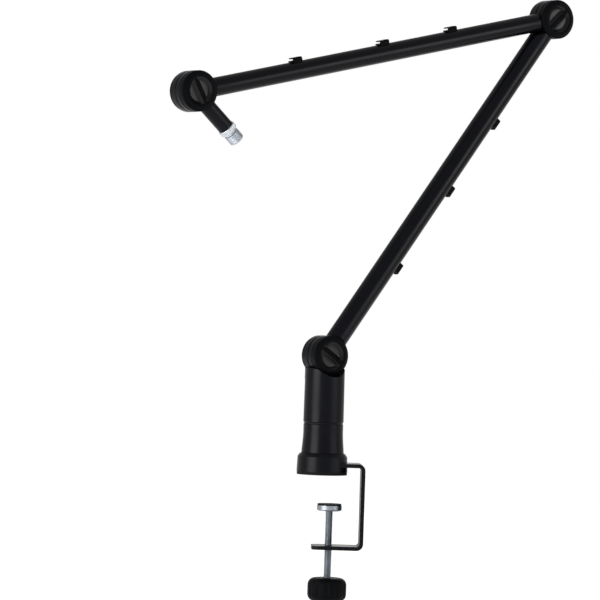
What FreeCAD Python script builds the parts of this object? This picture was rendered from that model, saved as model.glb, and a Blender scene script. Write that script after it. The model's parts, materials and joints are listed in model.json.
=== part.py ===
import FreeCAD, Part
import Sketcher
import math
import os

# Desk-clamped microphone boom arm: a clamp, a swivel column, two round arms and a threaded head,
# joined by three friction hinges that each have a hand knob.
# Lengths are millimetres. The origin is the middle of the foot's underside, on the desk top.
# +Z is up, +X runs from the column to the clamp's spine and +Y runs to the back of the desk.

# Driving dimensions, one cell each in the sheet.
DRIVING = {
    "arm_length": 460.0,
    "lower_tube_radius": 11.1,
    "upper_tube_radius": 9.7,
    "tube_wall": 1.6,
    "pivot_height": 123.0,
    "hinge_radius": 21.0,
    "lap_offset": 2.5,
    "friction_disc_thickness": 1.0,
    "friction_disc_bore": 8.0,
    "friction_disc_rim": 1.2,
    "front_ear_thickness": 6.5,
    "rear_ear_thickness": 9.0,
    "ear_edge": 0.8,
    "neck_reach": 34.0,
    "collar_length": 6.0,
    "plug_length": 26.0,
    "plug_bore_radius": 4.5,
    "knob_radius": 20.9,
    "knob_thickness": 8.6,
    "knob_gap": 0.4,
    "knob_rim": 2.9,
    "knob_scoop_depth": 3.8,
    "knob_bar_root_width": 7.4,
    "knob_bar_top_width": 5.8,
    "knob_edge": 1.8,
    "cap_thickness": 4.0,
    "cap_round": 2.6,
    "cap_spigot": 0.8,
    "bolt_radius": 3.0,
    "bolt_head_radius": 5.5,
    "bolt_head_height": 4.0,
    "bolt_pocket_depth": 5.2,
    "nut_radius": 5.6,
    "nut_skin": 0.8,
    "knob_washer_radius": 9.0,
    "knob_washer_thickness": 0.9,
    "bush_wall": 3.0,
    "running_clearance": 0.08,
    "seat_gap": 0.06,
    "turning_gap": 0.8,
    "overrun": 5.0,
    "pin_radius": 1.5,
    "pin_length": 8.0,
    "pin_setback": 13.0,
    "clip_length": 11.2,
    "clip_width": 10.0,
    "clip_wall": 1.3,
    "clip_base": 1.1,
    "clip_bed": 2.0,
    "clip_mouth": 1.9,
    "clip_peg_radius": 2.0,
    "clip_peg_length": 4.0,
    "column_radius": 20.9,
    "column_top_radius": 20.5,
    "column_shoulder_drop": 13.0,
    "column_bevel": 0.9,
    "column_neck_half": 17.0,
    "column_neck_drop": 25.0,
    "foot_radius": 26.4,
    "foot_shoulder_radius": 25.8,
    "foot_top_radius": 23.4,
    "foot_height": 22.0,
    "foot_chamfer": 3.4,
    "foot_pad_thickness": 3.0,
    "foot_pad_radius": 26.0,
    "foot_wall": 3.4,
    "sleeve_top": 52.6,
    "sleeve_top_radius": 20.8,
    "sleeve_waist_radius": 20.9,
    "sleeve_flare_radius": 22.1,
    "sleeve_waist": 37.0,
    "sleeve_flare": 26.0,
    "sleeve_cavity_radius": 10.6,
    "sleeve_cavity": 28.2,
    "thrust_washer_thickness": 1.0,
    "thrust_washer_rim": 1.4,
    "swivel_pin_radius": 7.0,
    "swivel_pin_depth": 27.0,
    "swivel_bush_wall": 4.0,
    "swivel_washer_radius": 9.8,
    "swivel_washer_thickness": 1.6,
    "swivel_screw_radius": 2.5,
    "swivel_screw_length": 15.0,
    "swivel_head_radius": 4.6,
    "swivel_head_height": 3.4,
    "plate_thickness": 4.0,
    "plate_width": 36.0,
    "flange_underside": 8.3,
    "spine_inner": 40.4,
    "bend_radius": 3.0,
    "jaw_drop": 73.0,
    "jaw_reach": 8.7,
    "jaw_corner": 7.0,
    "base_screw_radius": 2.0,
    "base_screw_circle": 14.2,
    "base_screw_grip": 8.0,
    "base_screw_head_radius": 3.8,
    "base_screw_head_height": 2.2,
    "screw_offset": 8.9,
    "screw_radius": 4.0,
    "screw_tip_radius": 3.0,
    "screw_tip_length": 3.6,
    "thread_clearance": 0.3,
    "desk_thickness": 30.0,
    "pad_radius": 13.0,
    "pad_thickness": 5.6,
    "pad_edge": 1.2,
    "cushion_thickness": 1.8,
    "cushion_radius": 12.4,
    "clamp_knob_drop": 106.6,
    "clamp_knob_height": 24.4,
    "clamp_knob_radius": 20.2,
    "clamp_knob_round": 7.5,
    "clamp_knob_flute_radius": 2.6,
    "clamp_knob_flute_bite": 0.9,
    "screw_seat_depth": 16.0,
    "stem_radius": 8.3,
    "stem_length": 52.0,
    "stem_bevel": 0.6,
    "collar_ring_radius": 9.2,
    "collar_ring_length": 6.0,
    "collar_ring_bevel": 0.7,
    "stud_radius": 7.9375,
    "stud_neck_radius": 6.4,
    "stud_neck_length": 2.2,
    "stud_thread_length": 11.0,
    "stud_shank_radius": 4.0,
    "stud_shank_length": 14.0,
    "stud_bevel": 0.9,
}

# Attitude of the arm in degrees: the column's turn, then each link's angle above +X in the arm's plane.
COLUMN_TURN = 32.0
LOWER_ANGLE = 52.7
UPPER_ANGLE = 192.75
STEM_ANGLE = -41.4
BASE_BAR_ANGLE = -33.5
ELBOW_BAR_ANGLE = 43.3
HEAD_BAR_ANGLE = -61.2

# Smallest angles in degrees between two links that fold together.
ELBOW_FOLD = 36.0
HEAD_FOLD = 40.0

# Places of the cable clips, as shares of the arm's length from its near hinge.
LOWER_CLIP_SHARES = (0.274, 0.502, 0.704)
UPPER_CLIP_SHARES = (0.293, 0.485, 0.725)

BASE_SCREW_TURNS = (60.0, 180.0, 300.0)
CLAMP_KNOB_FLUTES = 12
FULL_TURN = 360.0
HALF_TURN = 180.0
QUARTER_TURN = 90.0
HEX_SIDES = 6

# Two places nearer than this count as one when an edge is looked up.
SAME_PLACE = 1e-4

doc = FreeCAD.newDocument("BoomArm")
sheet = doc.addObject("Spreadsheet::Sheet", "Sizes")


class Size:
    """A length with the sheet expression that it comes from."""

    def __init__(self, value, text):
        self.value = value
        self.text = text

    def __add__(self, other):
        other = as_size(other)
        return Size(self.value + other.value, f"({self.text} + {other.text})")

    def __sub__(self, other):
        other = as_size(other)
        return Size(self.value - other.value, f"({self.text} - {other.text})")

    def __mul__(self, other):
        other = as_size(other)
        return Size(self.value * other.value, f"({self.text} * {other.text})")

    def __truediv__(self, other):
        other = as_size(other)
        return Size(self.value / other.value, f"({self.text} / {other.text})")

    def __neg__(self):
        return Size(-self.value, f"(0 - {self.text})")


def as_size(number):
    """Zero and other plain numbers as a Size."""
    if isinstance(number, Size):
        return number
    return Size(float(number), str(number))


class Sizes:
    """The sheet's cells by name."""

    def __getattr__(self, name):
        return Size(DRIVING[name], f"Sizes.{name}")


size = Sizes()
for row, (alias, number) in enumerate(DRIVING.items(), start=1):
    sheet.set(f"A{row}", alias)
    sheet.set(f"B{row}", str(number))
    sheet.setAlias(f"B{row}", alias)
doc.recompute()

# Planes along a hinge's axis, which is +Y from the knob to the back. Zero is the arm's middle plane.
FRONT_EAR_BACK = size.lap_offset - size.friction_disc_thickness / 2
FRONT_EAR_FACE = FRONT_EAR_BACK - size.front_ear_thickness
REAR_EAR_FACE = size.lap_offset + size.friction_disc_thickness / 2
REAR_EAR_BACK = REAR_EAR_FACE + size.rear_ear_thickness
KNOB_BACK = FRONT_EAR_FACE - size.knob_gap
KNOB_FRONT = KNOB_BACK - size.knob_thickness
NUT_FRONT = KNOB_FRONT + size.knob_scoop_depth + size.nut_skin
NUT_BACK = FRONT_EAR_FACE - size.knob_washer_thickness - size.seat_gap
KNOB_SWEEP = size.knob_radius + size.turning_gap
EAR_SWEEP = size.hinge_radius + size.turning_gap
BUSH_RADIUS = size.bolt_radius + size.bush_wall
TUBE_START = size.neck_reach + size.collar_length

# Heights in the clamp and column.
COLUMN_FOOT = size.sleeve_top + size.thrust_washer_thickness
COLUMN_TOP = size.pivot_height - size.column_shoulder_drop
COLUMN_NECK_START = size.pivot_height - size.column_neck_drop
SWIVEL_BUSH_RADIUS = size.swivel_pin_radius + size.swivel_bush_wall
FLANGE_TOP = size.flange_underside + size.plate_thickness
SPINE_OUTER = size.spine_inner + size.plate_thickness
JAW_TOP = -size.jaw_drop
JAW_UNDERSIDE = JAW_TOP - size.plate_thickness
CLAMP_KNOB_TOP = -size.clamp_knob_drop
PAD_TOP = -size.desk_thickness
PAD_SEAT = PAD_TOP - size.cushion_thickness
PAD_UNDERSIDE = PAD_SEAT - size.pad_thickness

TURNS = {
    "x": FreeCAD.Rotation(FreeCAD.Vector(0, 1, 0), QUARTER_TURN),
    "y": FreeCAD.Rotation(FreeCAD.Vector(1, 0, 0), -QUARTER_TURN),
    "z": FreeCAD.Rotation(),
}
pieces = []


def place_at(feature, at):
    """Bind a feature's corner or centre to the sheet."""
    for axis, amount in zip("xyz", at):
        feature.setExpression(f"Placement.Base.{axis}", as_size(amount).text)


def rod(radius, length, at=(0, 0, 0), along="z"):
    """A round bar that starts at a point and runs along an axis."""
    bar = doc.addObject("Part::Cylinder", "Rod")
    bar.setExpression("Radius", radius.text)
    bar.setExpression("Height", length.text)
    bar.Placement = FreeCAD.Placement(FreeCAD.Vector(), TURNS[along])
    place_at(bar, at)
    return bar


def cone(start_radius, end_radius, length, at=(0, 0, 0), along="z"):
    """A round taper that starts at a point and runs along an axis."""
    taper = doc.addObject("Part::Cone", "Taper")
    taper.setExpression("Radius1", start_radius.text)
    taper.setExpression("Radius2", end_radius.text)
    taper.setExpression("Height", length.text)
    taper.Placement = FreeCAD.Placement(FreeCAD.Vector(), TURNS[along])
    place_at(taper, at)
    return taper


def block(low, high):
    """A box between two corners."""
    box = doc.addObject("Part::Box", "Block")
    for name, start, end in zip(("Length", "Width", "Height"), low, high):
        box.setExpression(name, (as_size(end) - as_size(start)).text)
    place_at(box, low)
    return box


def prism(corner_radius, length, at, along):
    """A hexagon bar, measured to its corners."""
    bar = doc.addObject("Part::Prism", "Hexagon")
    bar.Polygon = HEX_SIDES
    bar.setExpression("Circumradius", corner_radius.text)
    bar.setExpression("Height", length.text)
    bar.Placement = FreeCAD.Placement(FreeCAD.Vector(), TURNS[along])
    place_at(bar, at)
    return bar


def fuse(*shapes):
    """One solid of several that overlap."""
    joined = doc.addObject("Part::MultiFuse", "Fuse")
    joined.Shapes = list(shapes)
    joined.Refine = True
    return joined


def group(*shapes):
    """Several separate solids in one object."""
    together = doc.addObject("Part::Compound", "Group")
    together.Links = list(shapes)
    return together


def cut(base, *tools):
    """A solid with one or more tools taken out of it."""
    result = doc.addObject("Part::Cut", "Cut")
    result.Base = base
    result.Tool = tools[0] if len(tools) == 1 else group(*tools)
    result.Refine = True
    return result


def common(first, second):
    """What two solids share."""
    shared = doc.addObject("Part::Common", "Common")
    shared.Base = first
    shared.Tool = second
    return shared


def ring(outer, inner, length, at, along):
    """A washer or tube."""
    low = list(at)
    index = "xyz".index(along)
    low[index] = as_size(at[index]) - size.overrun
    return cut(rod(outer, length, at, along), rod(inner, length + size.overrun * 2, low, along))


def finish(shape, label, placement=FreeCAD.Placement()):
    """Name a finished piece and put it in its place."""
    shape.Label = label
    shape.Placement = placement
    pieces.append(shape)
    return shape


def outline(body, role, points):
    """A closed sketch of straight runs whose corners are bound to the sheet."""
    sketch = body.newObject("Sketcher::SketchObject", "Outline")
    plane = next(item for item in body.Origin.OriginFeatures if item.Role == role)
    sketch.AttachmentSupport = (plane, [""])
    sketch.MapMode = "FlatFace"
    corners = [FreeCAD.Vector(as_size(x).value, as_size(y).value, 0) for x, y in points]
    count = len(corners)
    for index in range(count):
        sketch.addGeometry(Part.LineSegment(corners[index], corners[(index + 1) % count]))
    for index in range(count):
        sketch.addConstraint(Sketcher.Constraint("Coincident", index, 2, (index + 1) % count, 1))
    for index, point in enumerate(points):
        for kind, amount, axis in zip(("DistanceX", "DistanceY"), point, (-2, -1)):
            amount = as_size(amount)
            if amount.value == 0:
                sketch.addConstraint(Sketcher.Constraint("PointOnObject", index, 1, axis))
                continue
            bound = sketch.addConstraint(
                Sketcher.Constraint(kind, -1, 1, index, 1, amount.value))
            sketch.setExpression(f"Constraints[{bound}]", amount.text)
    return sketch


def revolved(points, rounds=()):
    """A body turned about Z from a half section of (radius, height) points.

    Each item of rounds is a rim's radius, its height and its fillet.
    """
    body = doc.addObject("PartDesign::Body", "Turned")
    sketch = outline(body, "XZ_Plane", points)
    turn = body.newObject("PartDesign::Revolution", "Revolution")
    turn.Profile = sketch
    turn.ReferenceAxis = (sketch, ["V_Axis"])
    turn.Angle = FULL_TURN
    sketch.Visibility = False
    doc.recompute()
    last = turn
    for radius, height, fillet in rounds:
        last = rounded(body, last, fillet, lambda edge: is_rim_at(edge, radius, height))
    return body


def padded(points, role, length):
    """A body pulled from an outline, to both sides of its plane."""
    body = doc.addObject("PartDesign::Body", "Pulled")
    sketch = outline(body, role, points)
    pull = body.newObject("PartDesign::Pad", "Pad")
    pull.Profile = sketch
    pull.SideType = "Symmetric"
    pull.setExpression("Length", length.text)
    sketch.Visibility = False
    doc.recompute()
    return body


def near(first, second):
    """True where two lengths are the same."""
    return abs(first - second) < SAME_PLACE


def is_rim_at(edge, radius, height):
    """True for a circle about Z of a radius and height."""
    box = edge.BoundBox
    return near(box.ZLength, 0) and near(box.ZMin, height.value) and near(box.XLength / 2, radius.value)


def rounded(body, feature, radius, chosen):
    """Fillet the edges of a feature that a test picks."""
    fillet = body.newObject("PartDesign::Fillet", "Fillet")
    names = [f"Edge{i}" for i, edge in enumerate(feature.Shape.Edges, start=1) if chosen(edge)]
    fillet.Base = (feature, names)
    fillet.setExpression("Radius", radius.text)
    body.Tip = fillet
    doc.recompute()
    return fillet


def polar(radius, degrees):
    """A point on a circle about Z, as two sizes."""
    angle = math.radians(degrees)
    return radius * round(math.cos(angle), 6), radius * round(math.sin(angle), 6)


# Placements of the links in the rest attitude.
COLUMN_ROTATION = FreeCAD.Rotation(FreeCAD.Vector(0, 0, 1), COLUMN_TURN)


def link_place(hinge, degrees):
    """A link's frame: +X along the link from its near hinge, +Y along the hinge's axis to the back."""
    tilt = FreeCAD.Rotation(FreeCAD.Vector(0, 1, 0), -degrees)
    return FreeCAD.Placement(hinge, COLUMN_ROTATION.multiply(tilt))


def far_hinge(hinge, degrees):
    """The hinge at the far end of an arm."""
    reach = FreeCAD.Vector(size.arm_length.value, 0, 0)
    return link_place(hinge, degrees).multVec(reach)


BASE_HINGE = FreeCAD.Vector(0, 0, size.pivot_height.value)
ELBOW_HINGE = far_hinge(BASE_HINGE, LOWER_ANGLE)
HEAD_HINGE = far_hinge(ELBOW_HINGE, UPPER_ANGLE)
COLUMN_PLACE = FreeCAD.Placement(FreeCAD.Vector(), COLUMN_ROTATION)
COLUMN_TOP_PLACE = FreeCAD.Placement(BASE_HINGE, COLUMN_ROTATION)
LOWER_PLACE = link_place(BASE_HINGE, LOWER_ANGLE)
LOWER_END_PLACE = link_place(ELBOW_HINGE, LOWER_ANGLE)
UPPER_PLACE = link_place(ELBOW_HINGE, UPPER_ANGLE)
UPPER_END_PLACE = link_place(HEAD_HINGE, UPPER_ANGLE)
STEM_PLACE = link_place(HEAD_HINGE, STEM_ANGLE)


# Hinges
def ear(back, thickness):
    """A round ear with bevelled rims, centred on the hinge."""
    face = back - thickness
    flat = thickness - size.ear_edge * 2
    inner = size.hinge_radius - size.ear_edge
    front_bevel = cone(inner, size.hinge_radius, size.ear_edge, (0, face, 0), "y")
    middle = rod(size.hinge_radius, flat, (0, face + size.ear_edge, 0), "y")
    back_bevel = cone(size.hinge_radius, inner, size.ear_edge, (0, back - size.ear_edge, 0), "y")
    return fuse(front_bevel, middle, back_bevel)


def fold_room(radius, low, high, degrees):
    """Room between two planes of the hinge for another link's bar that is folded to an angle above +X."""
    half = radius + size.turning_gap
    room = group(block((0, low, -half), (TUBE_START, high, half)))
    room.Placement = FreeCAD.Placement(FreeCAD.Vector(), FreeCAD.Rotation(FreeCAD.Vector(0, 1, 0), -degrees))
    return room


def front_fitting(radius, length, folds=()):
    """A link's near end: a round bar whose front half runs on to an ear in front of the lap.

    Each item of folds is the radius of a link that folds against this one and the angle to it.
    """
    side = size.hinge_radius + size.overrun
    bar = fuse(rod(radius, length, along="x"), ear(FRONT_EAR_BACK, size.front_ear_thickness))
    behind = rod(EAR_SWEEP, side, (0, FRONT_EAR_BACK, 0), "y")
    folded = [fold_room(other, FRONT_EAR_BACK, side, angle) for other, angle in folds]
    knob_room = rod(KNOB_SWEEP, size.hinge_radius + size.overrun,
                    (0, FRONT_EAR_FACE - size.hinge_radius - size.overrun, 0), "y")
    bore = rod(BUSH_RADIUS + size.seat_gap, side * 2, (0, -side, 0), "y")
    return cut(bar, behind, *folded, knob_room, bore)


def rear_fitting(radius, length, other, angle):
    """A link's far end, drawn with the link on its -X side: the rear half runs on to a rear ear.

    The next link has the other radius and folds back to the angle.
    """
    side = size.hinge_radius + size.overrun
    bar = fuse(rod(radius, length, (-length, 0, 0), "x"), ear(REAR_EAR_BACK, size.rear_ear_thickness))
    before = rod(EAR_SWEEP, side + REAR_EAR_FACE, (0, -side, 0), "y")
    folded = fold_room(other, -side, REAR_EAR_FACE, HALF_TURN - angle)
    return cut(bar, before, folded, bolt_room())


def bolt_room():
    """The hole for a hinge's bolt and the hexagon pocket for its head in a rear ear."""
    pocket = prism(size.bolt_head_radius + size.seat_gap, size.bolt_pocket_depth + size.overrun,
                   (0, REAR_EAR_BACK - size.bolt_pocket_depth, 0), "y")
    hole = rod(size.bolt_radius + size.seat_gap, size.hinge_radius * 2, (0, -size.hinge_radius, 0), "y")
    return fuse(pocket, hole)


def hinge_bolt():
    """A hexagon bolt whose head is held in the rear ear and whose end reaches into the knob."""
    head_start = REAR_EAR_BACK - size.bolt_pocket_depth + size.seat_gap
    shank = rod(size.bolt_radius, head_start - NUT_FRONT + size.bolt_head_height / 2, (0, NUT_FRONT, 0), "y")
    head = prism(size.bolt_head_radius, size.bolt_head_height, (0, head_start, 0), "y")
    return fuse(shank, head)


def on_hinge(body, start):
    """A turned body laid along a hinge's axis, from a plane on that axis."""
    laid = group(body)
    laid.Placement = FreeCAD.Placement(FreeCAD.Vector(), TURNS["y"])
    place_at(laid, (0, start, 0))
    return laid


def hinge_knob():
    """A disc with two dished half moons, one on each side of a raised grip bar along X."""
    disc = revolved(
        [(0, 0), (size.knob_radius, 0), (size.knob_radius, size.knob_thickness), (0, size.knob_thickness)],
        [(size.knob_radius, as_size(0), size.knob_edge)])
    return cut(on_hinge(disc, KNOB_FRONT), *[half_moon(side) for side in (1, -1)], knob_core())


def half_moon(side):
    """The dished scoop on one side of a knob's grip bar, with a drafted wall at the bar."""
    depth = size.knob_scoop_depth
    rim = size.knob_radius - size.knob_rim
    bowl_radius = (rim * rim + depth * depth) / (depth * 2)
    bowl = doc.addObject("Part::Sphere", "Bowl")
    bowl.setExpression("Radius", bowl_radius.text)
    place_at(bowl, (0, KNOB_FRONT + depth - bowl_radius, 0))
    root = size.knob_bar_root_width / 2
    above = size.knob_bar_top_width - root
    far = size.knob_radius + size.overrun
    room = doc.addObject("Part::Wedge", "Drafted")
    limits = {
        "Xmin": -far, "X2min": -far, "Xmax": far, "X2max": far,
        "Ymin": KNOB_FRONT - depth, "Ymax": KNOB_FRONT + depth,
        "Zmin": above if side > 0 else -far, "Zmax": far if side > 0 else -above,
        "Z2min": root if side > 0 else -far, "Z2max": far if side > 0 else -root,
    }
    for name, limit in limits.items():
        room.setExpression(name, limit.text)
    return common(bowl, room)


def knob_core():
    """The room in a knob for its nut, its washer and the bolt."""
    room = rod(size.nut_radius + size.seat_gap, size.knob_thickness, (0, NUT_FRONT - size.seat_gap, 0), "y")
    seat = rod(size.knob_washer_radius + size.seat_gap, size.overrun,
               (0, KNOB_BACK - size.knob_washer_thickness + size.knob_gap, 0), "y")
    return fuse(room, seat)


def knob_nut():
    """The threaded insert that is moulded into a knob."""
    return ring(size.nut_radius, size.bolt_radius + size.seat_gap, NUT_BACK - NUT_FRONT,
                (0, NUT_FRONT, 0), "y")


def build_hinge(name, rear_place, front_place, bar_angle):
    """The loose pieces of one hinge: those of the rear ear, of the front ear and of the knob."""
    finish(hinge_bolt(), f"{name}_hinge_bolt", rear_place)
    disc_face = FRONT_EAR_BACK + size.seat_gap
    disc = ring(size.hinge_radius - size.friction_disc_rim, size.friction_disc_bore,
                size.friction_disc_thickness - size.seat_gap * 2, (0, disc_face, 0), "y")
    finish(disc, f"{name}_friction_disc", rear_place)
    rim = size.hinge_radius - size.ear_edge
    spigot = rod(size.bolt_head_radius * math.cos(math.pi / HEX_SIDES) - size.seat_gap,
                 size.cap_spigot + size.cap_thickness / 2, (0, REAR_EAR_BACK - size.cap_spigot, 0), "y")
    dome = revolved([(0, 0), (rim, 0), (rim, size.cap_thickness), (0, size.cap_thickness)],
                    [(rim, size.cap_thickness, size.cap_round)])
    finish(fuse(on_hinge(dome, REAR_EAR_BACK), spigot), f"{name}_back_cap", rear_place)
    bush = ring(BUSH_RADIUS, size.bolt_radius + size.running_clearance, size.front_ear_thickness,
                (0, FRONT_EAR_FACE, 0), "y")
    finish(bush, f"{name}_pivot_bush", front_place)
    knob_place = link_place(rear_place.Base, bar_angle)
    finish(hinge_knob(), f"{name}_knob", knob_place)
    finish(knob_nut(), f"{name}_knob_nut", knob_place)
    washer = ring(size.knob_washer_radius, size.bolt_radius + size.thread_clearance,
                  size.knob_washer_thickness - size.seat_gap,
                  (0, FRONT_EAR_FACE - size.knob_washer_thickness, 0), "y")
    finish(washer, f"{name}_knob_washer", knob_place)


# Arms
def clip_profile(radius):
    """The section of a cable clip across the arm: a base, a wall and a lip, open to the back."""
    half = size.clip_width / 2
    base_face = -(radius + size.clip_base)
    lip_face = base_face - size.clip_mouth
    outer = lip_face - size.clip_wall
    inside = -(half - size.clip_wall)
    return [
        (-half, -(radius - size.clip_bed)),
        (half, -(radius - size.clip_bed)),
        (half, base_face),
        (inside, base_face),
        (inside, lip_face),
        (half - size.clip_wall, lip_face),
        (half - size.clip_wall * 2, outer),
        (-(half - size.clip_wall), outer),
        (-half, lip_face),
    ]


def cable_clip(radius, place):
    """A hook-shaped clip that sits on the tube's outer side, with a peg through the tube's wall."""
    body = padded(clip_profile(radius), "YZ_Plane", size.clip_length)
    saddle = rod(radius + size.seat_gap, size.clip_length * 2, (-size.clip_length, 0, 0), "x")
    peg_top = -(radius + size.clip_base / 2)
    peg = rod(size.clip_peg_radius, size.clip_peg_length, (0, 0, peg_top), "z")
    clip = fuse(cut(body, saddle), peg)
    moved = group(clip)
    moved.setExpression("Placement.Base.x", place.text)
    return group(moved)


PIN_PLACES = (TUBE_START + size.pin_setback, size.arm_length - TUBE_START - size.pin_setback)


def arm_pins(radius):
    """The two pins that hold the fittings in an arm's tube."""
    return [rod(size.pin_radius, size.pin_length, (place, 0, -radius), "z") for place in PIN_PLACES]


def pin_holes(radius):
    """The holes for those pins."""
    length = size.pin_length + size.overrun
    low = -(radius + size.overrun)
    return [rod(size.pin_radius + size.seat_gap, length, (place, 0, low), "z") for place in PIN_PLACES]


def build_arm(name, radius, clip_shares, place, near_folds, far_fold):
    """One arm: a round tube, a fitting plugged into each end, its pins and its cable clips.

    The folds are the radius of a neighbour link and the smallest angle to it.
    """
    inner = radius - size.tube_wall
    plug_radius = inner - size.seat_gap
    far_start = size.arm_length - TUBE_START
    tube_length = size.arm_length - TUBE_START * 2
    clip_places = [size.arm_length * share for share in clip_shares]
    holes = [
        rod(size.clip_peg_radius + size.seat_gap, radius, (spot, 0, -(radius * 2 - size.overrun)), "z")
        for spot in clip_places
    ]
    shell = cut(rod(radius, tube_length, (TUBE_START, 0, 0), "x"),
                rod(inner, size.arm_length, (0, 0, 0), "x"), *holes, *pin_holes(radius))
    finish(shell, f"{name}_tube", place)
    near_plug = cut(rod(plug_radius, size.plug_length + size.collar_length, (size.neck_reach, 0, 0), "x"),
                    rod(size.plug_bore_radius, size.plug_length, (TUBE_START, 0, 0), "x"))
    near_end = fuse(front_fitting(radius, TUBE_START, near_folds), near_plug)
    finish(cut(near_end, *pin_holes(radius)), f"{name}_near_fitting", place)
    far_fitting = group(rear_fitting(radius, TUBE_START, *far_fold))
    far_fitting.setExpression("Placement.Base.x", size.arm_length.text)
    plug_start = far_start - size.plug_length
    far_plug = cut(rod(plug_radius, size.plug_length + size.collar_length, (plug_start, 0, 0), "x"),
                   rod(size.plug_bore_radius, size.plug_length, (plug_start, 0, 0), "x"))
    finish(cut(fuse(far_fitting, far_plug), *pin_holes(radius)), f"{name}_far_fitting", place)
    finish(group(*arm_pins(radius)), f"{name}_fitting_pins", place)
    for number, spot in enumerate(clip_places, start=1):
        finish(cable_clip(radius, spot), f"{name}_cable_clip_{number}", place)


# Clamp
def foot_screws(grow, low, high):
    """Three shanks on the foot's screw circle."""
    shanks = []
    for degrees in BASE_SCREW_TURNS:
        x, y = polar(size.base_screw_circle, degrees)
        shanks.append(rod(size.base_screw_radius + grow, high - low, (x, y, low)))
    return shanks


def foot_screw_heads(grow, low):
    """The sunk heads of those screws."""
    heads = []
    for degrees in BASE_SCREW_TURNS:
        x, y = polar(size.base_screw_circle, degrees)
        heads.append(rod(size.base_screw_head_radius + grow, size.base_screw_head_height, (x, y, low)))
    return heads


def build_foot():
    """The foot, its cover plate, its rubber and the screws that hold the clamp bracket in it."""
    underside = size.foot_pad_thickness
    cavity = size.foot_radius - size.foot_wall
    shoulder = size.foot_height - size.foot_chamfer
    ceiling = FLANGE_TOP + size.seat_gap
    screw_end = size.foot_height + size.base_screw_grip
    shell = revolved([
        (0, ceiling), (cavity, ceiling), (cavity, underside), (size.foot_radius, underside),
        (size.foot_shoulder_radius, shoulder), (size.foot_top_radius, size.foot_height),
        (0, size.foot_height),
    ])
    slot = block((0, -(size.plate_width / 2 + size.seat_gap), size.flange_underside - size.seat_gap),
                 (size.foot_radius * 2, size.plate_width / 2 + size.seat_gap, ceiling))
    finish(cut(shell, slot, *foot_screws(size.seat_gap, underside, screw_end)), "foot")

    plate_top = size.flange_underside - size.seat_gap
    plate = rod(cavity - size.seat_gap, plate_top - underside, (0, 0, underside))
    heads = foot_screw_heads(size.seat_gap, underside)
    finish(cut(plate, *heads, *foot_screws(size.seat_gap, underside, screw_end)), "foot_cover_plate")
    finish(group(rod(size.foot_pad_radius, underside)), "foot_rubber_pad")

    solids = []
    for head, shank in zip(foot_screw_heads(as_size(0), underside),
                           foot_screws(as_size(0), underside, screw_end)):
        solids.append(fuse(head, shank))
    finish(group(*solids), "foot_screws")


def build_bracket():
    """The bent steel strip: a flange in the foot, a spine outside the desk edge and a lower jaw."""
    points = [
        (0, size.flange_underside), (size.spine_inner, size.flange_underside),
        (size.spine_inner, JAW_TOP), (-size.jaw_reach, JAW_TOP),
        (-size.jaw_reach, JAW_UNDERSIDE), (SPINE_OUTER, JAW_UNDERSIDE),
        (SPINE_OUTER, FLANGE_TOP), (0, FLANGE_TOP),
    ]
    body = padded(points, "XZ_Plane", size.plate_width)
    pull = body.Tip
    inner = rounded(body, pull, size.bend_radius, lambda edge: runs_at(edge, size.spine_inner))
    outer = rounded(body, inner, size.bend_radius + size.plate_thickness,
                    lambda edge: runs_at(edge, SPINE_OUTER))
    rounded(body, outer, size.jaw_corner, lambda edge: stands_at(edge, -size.jaw_reach))
    end = rod(size.plate_width / 2, size.plate_thickness, (0, 0, size.flange_underside))
    screw_hole = rod(size.screw_radius + size.thread_clearance, size.plate_thickness + size.overrun * 2,
                     (size.screw_offset, 0, JAW_UNDERSIDE - size.overrun))
    holes = foot_screws(size.seat_gap, size.foot_pad_thickness, size.foot_height)
    finish(cut(fuse(body, end), screw_hole, *holes), "clamp_bracket")


def runs_at(edge, place):
    """True for an edge across the strip at a distance along X."""
    box = edge.BoundBox
    across = near(box.XLength, 0) and near(box.ZLength, 0)
    return across and near(box.XMin, place.value)


def stands_at(edge, place):
    """True for an upright edge of the strip at a distance along X."""
    box = edge.BoundBox
    upright = near(box.XLength, 0) and near(box.YLength, 0)
    return upright and near(box.XMin, place.value)


def build_swivel():
    """The socket sleeve on the foot, the bush in it and the washer that the column turns on."""
    bore = SWIVEL_BUSH_RADIUS + size.seat_gap
    sleeve = revolved([
        (size.sleeve_cavity_radius, size.foot_height), (size.sleeve_flare_radius, size.foot_height),
        (size.sleeve_flare_radius, size.sleeve_flare), (size.sleeve_waist_radius, size.sleeve_waist),
        (size.sleeve_top_radius, size.sleeve_top), (bore, size.sleeve_top),
        (bore, size.sleeve_cavity), (size.sleeve_cavity_radius, size.sleeve_cavity),
    ])
    screw_end = size.foot_height + size.base_screw_grip
    finish(cut(sleeve, *foot_screws(size.seat_gap, size.foot_height - size.overrun, screw_end)),
           "socket_sleeve")
    bush_start = size.sleeve_cavity + size.seat_gap
    bush = ring(SWIVEL_BUSH_RADIUS, size.swivel_pin_radius + size.running_clearance,
                size.sleeve_top - bush_start, (0, 0, bush_start), "z")
    finish(bush, "swivel_bush")
    washer = ring(size.sleeve_top_radius - size.thrust_washer_rim,
                  size.swivel_pin_radius + size.thread_clearance,
                  size.thrust_washer_thickness - size.seat_gap * 2,
                  (0, 0, size.sleeve_top + size.seat_gap), "z")
    finish(washer, "swivel_thrust_washer")


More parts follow.
